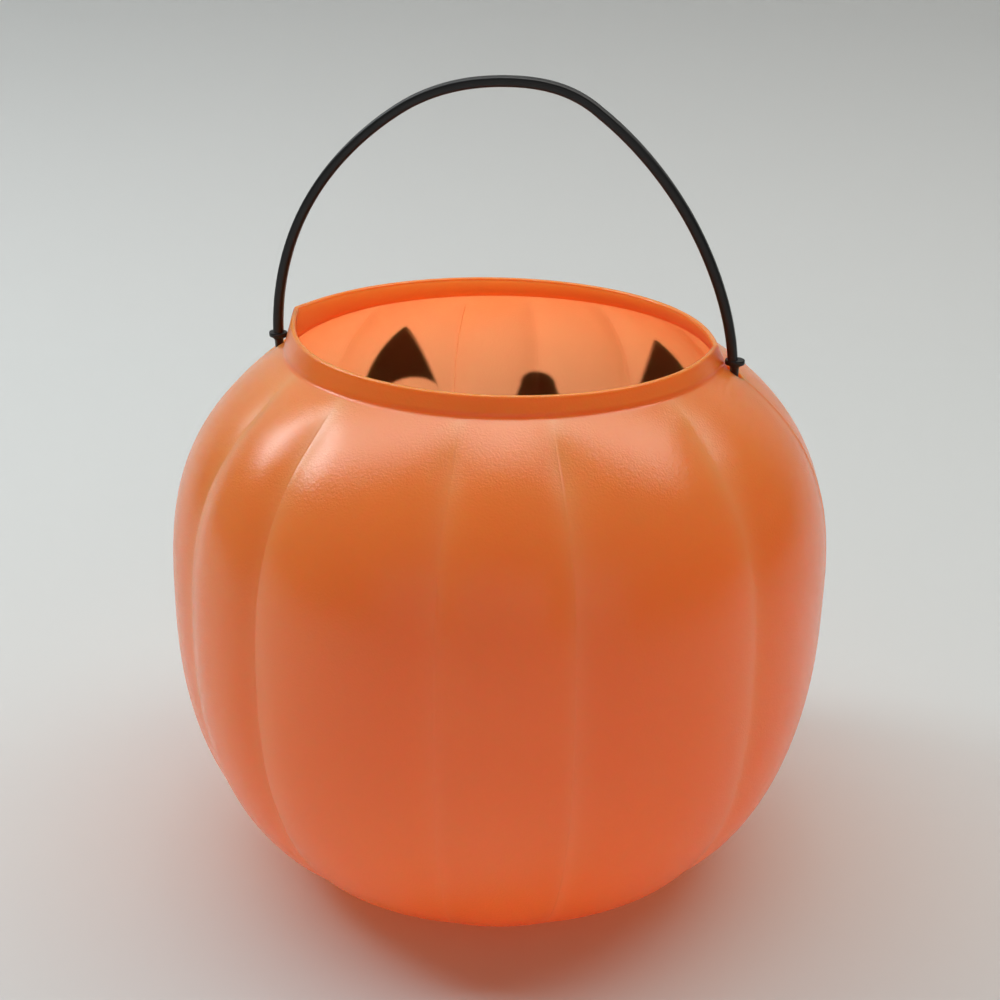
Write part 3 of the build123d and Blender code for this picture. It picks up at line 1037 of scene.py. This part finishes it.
class Graph:
    """Adds and links the nodes of one tree."""

    def __init__(self, tree: bpy.types.NodeTree) -> None:
        """Starts on an emptied tree.

        Args:
            tree: Node tree to fill.
        """
        self.tree = tree
        tree.nodes.clear()

    def feed(self, target: Socket, source: Source) -> None:
        """Links a socket to a target, or sets the target's value.

        Args:
            target: Input socket.
            source: Output socket, number or colour.
        """
        if isinstance(source, Socket):
            self.tree.links.new(source, target)
        else:
            target.default_value = source

    def node(
        self, kind: str, given: dict[str | int, Source] | None = None, **settings: object
    ) -> bpy.types.Node:
        """Adds a node with its settings and inputs.

        Args:
            kind: The node's type name.
            given: Values or sockets for its inputs, by the inputs' names or numbers.
            settings: Values of the node's own properties.

        Returns:
            The new node.
        """
        made = self.tree.nodes.new(kind)
        for key, value in settings.items():
            setattr(made, key, value)
        for key, value in (given or {}).items():
            self.feed(made.inputs[key], value)
        return made

    def math(self, operation: str, *values: Value) -> Socket:
        """Result of a math node."""
        return self.node("ShaderNodeMath", dict(enumerate(values)), operation=operation).outputs[0]

    def ramp(self, value: Value, low: float, high: float, start: float = 0.0, end: float = 1.0) -> Socket:
        """Smooth map of a value's range onto another, clamped."""
        given = {"Value": value, "From Min": low, "From Max": high, "To Min": start, "To Max": end}
        return self.node("ShaderNodeMapRange", given, interpolation_type="SMOOTHSTEP").outputs["Result"]

    def noise(self, place: Socket, scale: Value, detail: float, rough: float) -> Socket:
        """Noise from 0 to 1 at a place."""
        given = {"Vector": place, "Scale": scale, "Detail": detail, "Roughness": rough}
        return self.node("ShaderNodeTexNoise", given).outputs["Fac"]

    def mix(self, share: Value, first: Socket | Colour, second: Socket | Colour) -> Socket:
        """Mixes two colours."""
        return self.node("ShaderNodeMix", {0: share, 6: first, 7: second}, data_type="RGBA").outputs[2]


class Effect(Graph):
    """A shader group with numbers and a place going in and numbers coming out."""

    def __init__(self, name: str, numbers: tuple[str, ...], results: tuple[str, ...]) -> None:
        """Starts the group.

        Args:
            name: Name of the group.
            numbers: Names of its number inputs.
            results: Names of its outputs.
        """
        super().__init__(bpy.data.node_groups.new(name, "ShaderNodeTree"))
        sockets = self.tree.interface
        for key in numbers:
            sockets.new_socket(key, in_out="INPUT", socket_type="NodeSocketFloat")
        sockets.new_socket("Place", in_out="INPUT", socket_type="NodeSocketVector")
        for key in results:
            sockets.new_socket(key, in_out="OUTPUT", socket_type="NodeSocketFloat")
        self.given = self.node("NodeGroupInput").outputs
        self.results = self.node("NodeGroupOutput").inputs


def moulded_grain() -> bpy.types.NodeTree:
    """Fine pebbled grain of a moulded skin, with slow waves under it.

    The height is fine noise plus broad noise, each times its own depth. The gloss drift is the broad noise
    about 0.

    Returns:
        The group's tree.
    """
    numbers = ("Grain Scale", "Grain Depth", "Wave Scale", "Wave Depth")
    effect = Effect("moulded_grain", numbers, ("Height", "Gloss Drift"))
    given = effect.given
    fine = effect.noise(given["Place"], given["Grain Scale"], detail=2.0, rough=0.55)
    broad = effect.noise(given["Place"], given["Wave Scale"], detail=3.0, rough=0.5)
    grain = effect.math("MULTIPLY", fine, given["Grain Depth"])
    waves = effect.math("MULTIPLY", broad, given["Wave Depth"])
    effect.feed(effect.results["Height"], effect.math("ADD", grain, waves))
    effect.feed(effect.results["Gloss Drift"], effect.math("SUBTRACT", broad, 0.5))
    return effect.tree


def handling_marks() -> bpy.types.NodeTree:
    """Marks of handling: sparse specks and faint rubbed patches.

    Specks are the hearts of the few cells whose random shade is high. Rubs are the peaks of broad, broken
    noise.

    Returns:
        The group's tree.
    """
    rare_shade = 0.965
    effect = Effect("handling_marks", ("Speck Scale", "Rub Scale"), ("Specks", "Rubs"))
    given = effect.given
    spacing = {"Vector": given["Place"], "Scale": given["Speck Scale"]}
    cells = effect.node("ShaderNodeTexVoronoi", spacing, feature="F1")
    shade = effect.node("ShaderNodeSeparateColor", {0: cells.outputs["Color"]}).outputs[0]
    rare = effect.math("GREATER_THAN", shade, rare_shade)
    heart = effect.ramp(cells.outputs["Distance"], low=0.05, high=0.12, start=1.0, end=0.0)
    effect.feed(effect.results["Specks"], effect.math("MULTIPLY", heart, rare))
    broken = effect.noise(given["Place"], given["Rub Scale"], detail=6.0, rough=0.62)
    effect.feed(effect.results["Rubs"], effect.ramp(broken, low=0.56, high=0.74))
    return effect.tree


@dataclass(frozen=True)
class Effects:
    """The shader groups that the finishes share."""

    grain: bpy.types.NodeTree
    marks: bpy.types.NodeTree


@dataclass(frozen=True)
class Texture:
    """Scales, in waves to the metre, and depths of a finish's grain, waves, gloss drift and marks."""

    grain_scale: float
    grain_depth: float
    wave_scale: float
    wave_depth: float
    bump_height: float
    bump_strength: float
    gloss_drift: float
    speck_scale: float
    rub_scale: float


class Finish(Graph):
    """One material: a Principled shader on the object's own coordinates."""

    def __init__(self, name: str) -> None:
        """Starts the material.

        Args:
            name: Name of the material.
        """
        self.material = bpy.data.materials.new(name)
        self.material.use_nodes = True
        super().__init__(self.material.node_tree)
        self.shader = self.node("ShaderNodeBsdfPrincipled")
        self.surface = self.node("ShaderNodeOutputMaterial").inputs["Surface"]
        self.feed(self.surface, self.shader.outputs[0])
        self.place = self.node("ShaderNodeTexCoord").outputs["Object"]

    def set(self, name: str, source: Source) -> None:
        """Feeds one of the shader's inputs."""
        self.feed(self.shader.inputs[name], source)

    def attribute(self, name: str) -> Socket:
        """The piece's own numbers of a name."""
        return self.node("ShaderNodeAttribute", attribute_name=name).outputs["Fac"]

    def lay(self, texture: Texture, roughness: float, effects: Effects) -> bpy.types.bpy_prop_collection:
        """Gives the shader its grain, waves and drifting gloss, and places the handling marks.

        Args:
            texture: Scales and depths of this finish.
            roughness: Roughness that the gloss drifts about.
            effects: The shared shader groups.

        Returns:
            The marks' output sockets.
        """
        grain = {
            "Grain Scale": texture.grain_scale,
            "Grain Depth": texture.grain_depth,
            "Wave Scale": texture.wave_scale,
            "Wave Depth": texture.wave_depth,
            "Place": self.place,
        }
        skin = self.node("ShaderNodeGroup", grain, node_tree=effects.grain).outputs
        gloss = self.math("MULTIPLY_ADD", skin["Gloss Drift"], texture.gloss_drift, roughness)
        self.set("Roughness", gloss)
        relief = {
            "Strength": texture.bump_strength,
            "Distance": texture.bump_height,
            "Height": skin["Height"],
        }
        self.set("Normal", self.node("ShaderNodeBump", relief).outputs["Normal"])
        wear = {"Speck Scale": texture.speck_scale, "Rub Scale": texture.rub_scale, "Place": self.place}
        return self.node("ShaderNodeGroup", wear, node_tree=effects.marks).outputs


# Finishes


@dataclass(frozen=True)
class OrangePolyethylene:
    """Translucent orange skin with a soft gloss, thin enough that light from behind shows through it."""

    name: str = "orange_outer_skin"
    colour: Colour = (0.985, 0.240, 0.046, 1.0)
    thin_colour: Colour = (0.985, 0.262, 0.055, 1.0)
    # Collar colour: partly the thicker collar wall's deeper tone, partly painted shade.
    collar_shaded_colour: Colour = (0.98, 0.225, 0.034, 1.0)
    # Pale crease colour: a painted highlight along the creases.
    crease_highlight_colour: Colour = (0.98, 0.360, 0.120, 1.0)
    smudge_colour: Colour = (0.80, 0.16, 0.030, 1.0)
    drift_scale: float = 14.0
    drift_range: tuple[float, float] = (0.25, 0.75)
    rub_share: float = 0.02
    speck_share: float = 0.05
    roughness: float = 0.22
    scatter_scale: float = 0.010
    scatter_radius: tuple[float, float, float] = (1.0, 0.40, 0.20)
    passed_light: Colour = (0.77, 0.46, 0.27, 1.0)
    texture: Texture = Texture(
        grain_scale=1500.0, grain_depth=0.8, wave_scale=45.0, wave_depth=1.0, bump_height=0.0003,
        bump_strength=0.35, gloss_drift=0.12, speck_scale=150.0, rub_scale=30.0,
    )

    def build(self, effects: Effects) -> bpy.types.Material:
        """Builds the material.

        Args:
            effects: The shared shader groups.

        Returns:
            The material.
        """
        finish = Finish(self.name)
        marks = finish.lay(self.texture, self.roughness, effects)
        drift = finish.noise(finish.place, self.drift_scale, detail=1.0, rough=0.4)
        tint = self.colour
        for share, colour in (
            (finish.ramp(drift, *self.drift_range), self.thin_colour),
            (finish.math("MULTIPLY", marks["Rubs"], self.rub_share), self.thin_colour),
            (finish.math("MULTIPLY", marks["Specks"], self.speck_share), self.smudge_colour),
            # Collar band: deeper tone of the thicker wall, darkened further as painted shade.
            (finish.attribute("collar"), self.collar_shaded_colour),
            # Painted highlight: the pale crease colour laid along the creases by the crease mark.
            (finish.attribute("crease"), self.crease_highlight_colour),
        ):
            tint = finish.mix(share, tint, colour)
        finish.set("Base Color", tint)
        finish.shader.subsurface_method = "RANDOM_WALK"
        finish.set("Subsurface Weight", 1.0)
        finish.set("Subsurface Scale", self.scatter_scale)
        finish.set("Subsurface Radius", self.scatter_radius)
        self.pass_light(finish)
        return finish.material

    def pass_light(self, finish: Finish) -> None:
        """Lets the lamps' light through the thin wall: for shadow rays the skin is a clear orange filter.

        Args:
            finish: The material's graph.
        """
        ray = finish.node("ShaderNodeLightPath").outputs["Is Shadow Ray"]
        clear = finish.node("ShaderNodeBsdfTransparent", {"Color": self.passed_light}).outputs[0]
        choice = finish.node("ShaderNodeMixShader", {0: ray, 1: finish.shader.outputs[0], 2: clear})
        finish.feed(finish.surface, choice.outputs[0])


OUTER_SKIN = OrangePolyethylene()
INNER_SKIN = OrangePolyethylene(
    name="orange_inner_skin",
    colour=(0.935, 0.112, 0.038, 1.0),
    thin_colour=(0.945, 0.135, 0.050, 1.0),
    # Inside of the collar: deeper tone of the thick wall with painted shade.
    collar_shaded_colour=(0.82, 0.100, 0.034, 1.0),
    roughness=0.5,
    scatter_scale=0.100,
    scatter_radius=(2.0, 0.125, 0.080),
)
COLLAR_SKIN = OrangePolyethylene(
    name="orange_collar_skin",
    # Collar's inside face: deeper tone of the thick wall with painted shade.
    collar_shaded_colour=(0.82, 0.182, 0.056, 1.0),
    roughness=0.5,
    scatter_radius=(3.0, 1.0, 0.6),
)


@dataclass(frozen=True)
class BlackMoulding:
    """Semi-gloss black plastic of the handle, faintly scuffed."""

    colour: Colour = (0.0035, 0.0035, 0.004, 1.0)
    scuff_colour: Colour = (0.020, 0.019, 0.019, 1.0)
    scuff_share: float = 0.35
    roughness: float = 0.38
    texture: Texture = Texture(
        grain_scale=2600.0, grain_depth=0.6, wave_scale=180.0, wave_depth=0.7, bump_height=0.00008,
        bump_strength=0.5, gloss_drift=0.3, speck_scale=500.0, rub_scale=160.0,
    )

    def build(self, effects: Effects) -> bpy.types.Material:
        """Builds the material.

        Args:
            effects: The shared shader groups.

        Returns:
            The material.
        """
        finish = Finish("black_moulding")
        marks = finish.lay(self.texture, self.roughness, effects)
        scuffs = finish.math("MULTIPLY", marks["Rubs"], self.scuff_share)
        finish.set("Base Color", finish.mix(scuffs, self.colour, self.scuff_colour))
        return finish.material


@dataclass(frozen=True)
class BlackFacePaint:
    """Satin black sprayed paint, a little uneven, that thins out over its last two millimetres."""

    colour: Colour = (0.008, 0.007, 0.007, 1.0)
    thin_colour: Colour = (0.030, 0.013, 0.008, 1.0)
    roughness: float = 0.42
    feather: float = 0.0022
    texture: Texture = Texture(
        grain_scale=1100.0, grain_depth=0.8, wave_scale=120.0, wave_depth=1.0, bump_height=0.00012,
        bump_strength=0.5, gloss_drift=0.25, speck_scale=260.0, rub_scale=60.0,
    )

    def build(self, effects: Effects) -> bpy.types.Material:
        """Builds the material.

        Args:
            effects: The shared shader groups.

        Returns:
            The material.
        """
        finish = Finish("black_face_paint")
        marks = finish.lay(self.texture, self.roughness, effects)
        finish.set("Base Color", finish.mix(marks["Rubs"], self.colour, self.thin_colour))
        finish.set("Alpha", finish.ramp(finish.attribute("to_edge"), low=0.0, high=self.feather))
        return finish.material


@dataclass(frozen=True)
class PaleSweep:
    """Matt off-white of the studio floor and backdrop, faintly clouded."""

    colour: Colour = (0.630, 0.642, 0.638, 1.0)
    cloud_colour: Colour = (0.610, 0.622, 0.618, 1.0)
    cloud_scale: float = 1.5
    roughness: float = 0.75

    def build(self) -> bpy.types.Material:
        """Builds the material.

        Returns:
            The material.
        """
        finish = Finish("pale_sweep")
        clouds = finish.noise(finish.place, self.cloud_scale, detail=2.0, rough=0.5)
        finish.set("Base Color", finish.mix(clouds, self.colour, self.cloud_colour))
        finish.set("Roughness", self.roughness)
        return finish.material


# Studio


@dataclass(frozen=True)
class PhotoCamera:
    """The photograph's viewpoint: behind the pail, above its rim, turned a little about the view's axis."""

    turn: float = 9.2
    distance: float = 0.4807
    height: float = 0.320
    aim_height: float = 0.121744
    roll: float = 0.8
    focal_pixels: float = 1563.15
    sensor_width: float = 36.0

    def axes(self) -> tuple[Vector, Vector, Vector]:
        """Level directions of the view: to the picture's right, away from the camera, and up.

        Returns:
            The three unit directions in the row frame.
        """
        turn = math.radians(self.turn)
        right = Vector((-math.cos(turn), -math.sin(turn), 0.0))
        away = Vector((math.sin(turn), -math.cos(turn), 0.0))
        return right, away, Vector((0.0, 0.0, 1.0))

    def build(self) -> bpy.types.Object:
        """Places the camera and makes it the scene's.

        Returns:
            The camera's object.
        """
        right, away, up = self.axes()
        place = up * self.height - away * self.distance
        forward = (up * self.aim_height - place).normalized()
        level_up = right.cross(forward)
        roll = math.radians(self.roll)
        rolled_right = right * math.cos(roll) + level_up * math.sin(roll)
        rolled_up = level_up * math.cos(roll) - right * math.sin(roll)
        data = bpy.data.cameras.new("photo_camera")
        data.sensor_width = self.sensor_width
        data.lens = self.focal_pixels / IMAGE_WIDTH * self.sensor_width
        data.clip_start = 0.02
        camera = bpy.data.objects.new("photo_camera", data)
        rotation = Matrix((rolled_right, rolled_up, -forward)).transposed()
        camera.matrix_world = Matrix.Translation(place) @ rotation.to_4x4()
        bpy.context.scene.collection.objects.link(camera)
        bpy.context.scene.camera = camera
        return camera


@dataclass(frozen=True)
class SoftBox:
    """One soft lamp, placed from the pail by the view's level directions and aimed at the pail."""

    name: str
    right: float
    away: float
    up: float
    width: float
    height: float
    watts: float
    colour: tuple[float, float, float]

    def build(self, view: PhotoCamera, aim: Vector) -> None:
        """Places the lamp, unseen by the camera.

        Args:
            view: Camera whose directions place the lamp.
            aim: Point that the lamp faces.
        """
        data = bpy.data.lights.new(self.name, "AREA")
        data.shape = "RECTANGLE"
        data.size, data.size_y = self.width, self.height
        data.energy = self.watts
        data.color = self.colour
        lamp = bpy.data.objects.new(self.name, data)
        right, away, up = view.axes()
        lamp.location = aim + right * self.right + away * self.away + up * self.up
        lamp.rotation_euler = (aim - lamp.location).to_track_quat("-Z", "Y").to_euler()
        lamp.visible_camera = False
        bpy.context.scene.collection.objects.link(lamp)


@dataclass(frozen=True)
class Studio:
    """Floor that sweeps up into a backdrop, two ceiling lamps, a window and a low front fill."""

    view: PhotoCamera
    half_width: float = 1.25
    near: float = -1.7
    bend_start: float = 0.55
    bend_radius: float = 0.22
    bend_rows: int = 24
    top: float = 1.5
    aim_height: float = 0.11
    surround: Colour = (1.0, 1.0, 1.0, 1.0)
    surround_strength: float = 0.09
    backdrop_strength: float = 0.52
    lamps: tuple[SoftBox, ...] = (
        SoftBox("ceiling_left", -0.55, 0.12, 1.40, 0.7, 1.4, watts=11.4, colour=(0.97, 1.0, 1.0)),
        SoftBox("ceiling_right", 0.62, 0.12, 1.40, 0.7, 1.4, watts=11.4, colour=(1.0, 0.97, 0.91)),
        SoftBox("window", -1.18, 0.40, 0.88, 0.34, 0.46, watts=5.0, colour=(0.90, 0.97, 1.0)),
        SoftBox("front_fill", 0.0, -1.50, 0.25, 2.0, 0.9, watts=2.1, colour=(1.0, 0.98, 0.95)),
    )

    def sweep(self) -> bpy.types.Object:
        """The floor and backdrop: a straight run, a quarter circle and a straight rise, carried sideways.

        Returns:
            The sweep's object.
        """
        right, away, up = (np.array(axis) for axis in self.view.axes())
        turn = np.linspace(0.0, CIRCLE / 4.0, self.bend_rows)
        bend_away = self.bend_start + self.bend_radius * np.sin(turn)
        bend_up = self.bend_radius * (1.0 - np.cos(turn))
        along = np.concatenate([[self.near], bend_away, [bend_away[-1]]])[:, None, None]
        rise = np.concatenate([[0.0], bend_up, [self.top]])[:, None, None]
        sideways = np.linspace(-self.half_width, self.half_width, 3)[:, None]
        points = sideways * right + along * away + rise * up
        return mesh_object("studio_sweep", points, [patch_faces(*points.shape[:2])])

    def light_surround(self) -> None:
        """Lights the scene dimly from all round, and shows the camera a pale surround past the floor."""
        world = bpy.data.worlds.new("studio_surround")
        world.use_nodes = True
        graph = Graph(world.node_tree)
        ray = graph.node("ShaderNodeLightPath").outputs["Is Camera Ray"]
        levels = {"Value": ray, "To Min": self.surround_strength, "To Max": self.backdrop_strength}
        level = graph.node("ShaderNodeMapRange", levels).outputs["Result"]
        shade = graph.node("ShaderNodeBackground", {"Color": self.surround, "Strength": level})
        graph.node("ShaderNodeOutputWorld", {"Surface": shade.outputs[0]})
        bpy.context.scene.world = world

    def build(self) -> None:
        """Makes the sweep, the lamps and the surrounding light."""
        floor = self.sweep()
        floor.data.materials.append(PaleSweep().build())
        for lamp in self.lamps:
            lamp.build(self.view, Vector((0.0, 0.0, self.aim_height)))
        self.light_surround()


# Assembly


def attach(
    piece: bpy.types.Object, body: Body, slot: Slot, node: str, *materials: bpy.types.Material
) -> None:
    """Gives a piece its body and its finishes, and hides the frame node's part that it replaces.

    Args:
        piece: The finished mesh object.
        body: Body that it moves with.
        slot: Record slot of its finish; not used.
        node: Frame node that it replaces.
        materials: Its materials, in the order of its faces' material numbers.
    """
    for material in materials:
        piece.data.materials.append(material)
    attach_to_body(piece, body.value)
    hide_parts(node)
    log.info("%s: %d points, for %s", piece.name, len(piece.data.vertices), node)


def main() -> None:
    """Builds the camera, the studio and every piece, in order."""
    logging.basicConfig(level=logging.INFO, format="%(message)s")
    bpy.context.scene.view_settings.view_transform = "Standard"
    view = PhotoCamera()
    view.build()
    Studio(view).build()

    effects = Effects(moulded_grain(), handling_marks())
    form = PailForm()
    rim_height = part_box("pail_shell")[1].z
    pivot = tuple(frame["joints"][0]["pos_m"])
    for piece in (PailShell(form, rim_height), CarryHandle(pivot), FacePaint(form, FaceOutline())):
        piece.dress(piece.build(), effects)


if __name__ == "__main__":
    main()
